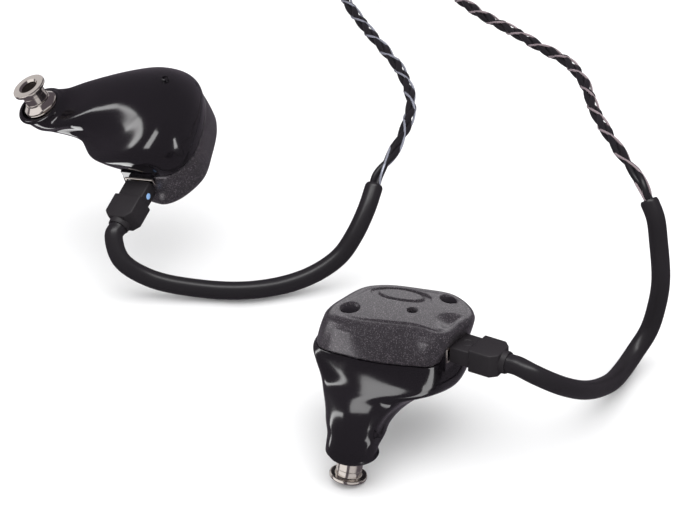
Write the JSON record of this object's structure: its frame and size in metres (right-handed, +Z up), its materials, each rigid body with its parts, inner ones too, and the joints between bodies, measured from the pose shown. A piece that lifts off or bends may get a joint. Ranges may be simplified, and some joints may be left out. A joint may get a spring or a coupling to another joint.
{
  "type": "in-ear monitors",
  "caption": "In-ear monitors with formed ear hooks, a detachable cable, chin slider, Y-split and a coiled main cable ending in a stereo plug.",
  "frame": {"origin": "under the middle of the Y-split, on the plane the set lies on", "axes": "+Z up from the plane the set lies on; +Y from the earpieces towards the slider, Y-split and coil; +X towards the right earpiece's ear hook"},
  "size_m": [0.1008, 0.2699, 0.0289],
  "materials": {
    "gloss_black": "polished resin, high gloss",
    "flake": "dark metal flake under clear lacquer",
    "steel": "polished stainless steel",
    "gold": "gold plated",
    "housing_plastic": "fine-grained matte",
    "sleeve": "smooth, half matte",
    "cable_jacket": "twisted, half matte with clear strands",
    "driver_case": "satin",
    "board": "solder mask",
    "clear_tube": "translucent",
    "mesh": "woven mesh",
    "left_mark": "smooth",
    "right_mark": "smooth"
  },
  "bodies": {
    "cable": {"left_ear_hook": "sleeve", "right_ear_hook": "sleeve", "left_cable": "cable_jacket", "right_cable": "cable_jacket", "y_split": "housing_plastic", "main_cable": "cable_jacket", "jack_strain_relief": "housing_plastic", "jack_barrel": "steel", "jack_sleeve": "gold", "jack_ring_insulator": "housing_plastic", "jack_ring": "gold", "jack_tip_insulator": "housing_plastic", "jack_tip": "gold"},
    "left_plug": {"left_plug_housing": "housing_plastic", "left_side_mark": "left_mark", "left_plug_pin_front": "gold", "left_plug_pin_rear": "gold"},
    "left_earpiece": {"left_shell": "gloss_black", "left_faceplate": "flake", "left_emblem_ring": "gloss_black", "left_front_cap": "gloss_black", "left_rear_cap": "gloss_black", "left_faceplate_vent": "mesh", "left_shell_vent": "mesh", "left_nozzle": "steel", "left_acoustic_damper": "mesh", "left_socket": "gloss_black", "left_socket_contact_front": "gold", "left_socket_contact_rear": "gold", "left_crossover_board": "board", "left_bass_driver": "driver_case", "left_mid_driver": "driver_case", "left_high_driver": "driver_case", "left_bass_tube": "clear_tube", "left_mid_high_tube": "clear_tube"},
    "right_plug": {"right_plug_housing": "housing_plastic", "right_side_mark": "right_mark", "right_plug_pin_front": "gold", "right_plug_pin_rear": "gold"},
    "right_earpiece": {"right_shell": "gloss_black", "right_faceplate": "flake", "right_emblem_ring": "gloss_black", "right_front_cap": "gloss_black", "right_rear_cap": "gloss_black", "right_faceplate_vent": "mesh", "right_shell_vent": "mesh", "right_nozzle": "steel", "right_acoustic_damper": "mesh", "right_socket": "gloss_black", "right_socket_contact_front": "gold", "right_socket_contact_rear": "gold", "right_crossover_board": "board", "right_bass_driver": "driver_case", "right_mid_driver": "driver_case", "right_high_driver": "driver_case", "right_bass_tube": "clear_tube", "right_mid_high_tube": "clear_tube"},
    "chin_slider": {"chin_slider": "housing_plastic"}
  },
  "joints": [
    {"name": "left_hook_flex", "type": "hinge", "parent": "cable", "child": "left_plug", "pos_m": [-0.04784, -0.13852, 0.00998], "axis": [0.391, 0.273, -0.879], "range_deg": [-10, 10], "stiffness_Nm_per_rad": 0.02},
    {"name": "left_unplug", "type": "slide", "parent": "left_plug", "child": "left_earpiece", "axis": [0.4091, 0.804, 0.4316], "range_m": [0, 0.005], "stiffness_N_per_m": 5},
    {"name": "right_hook_flex", "type": "hinge", "parent": "cable", "child": "right_plug", "pos_m": [0.01091, -0.18541, 0.01435], "axis": [0, 0, 1], "range_deg": [-10, 10], "stiffness_Nm_per_rad": 0.02},
    {"name": "right_unplug", "type": "slide", "parent": "right_plug", "child": "right_earpiece", "axis": [-0.8571, 0.5151, 0], "range_m": [0, 0.005], "stiffness_N_per_m": 5},
    {"name": "slider_travel", "type": "slide", "parent": "cable", "child": "chin_slider", "axis": [0, 1, 0], "range_m": [-0.002, 0.0085]}
  ]
}
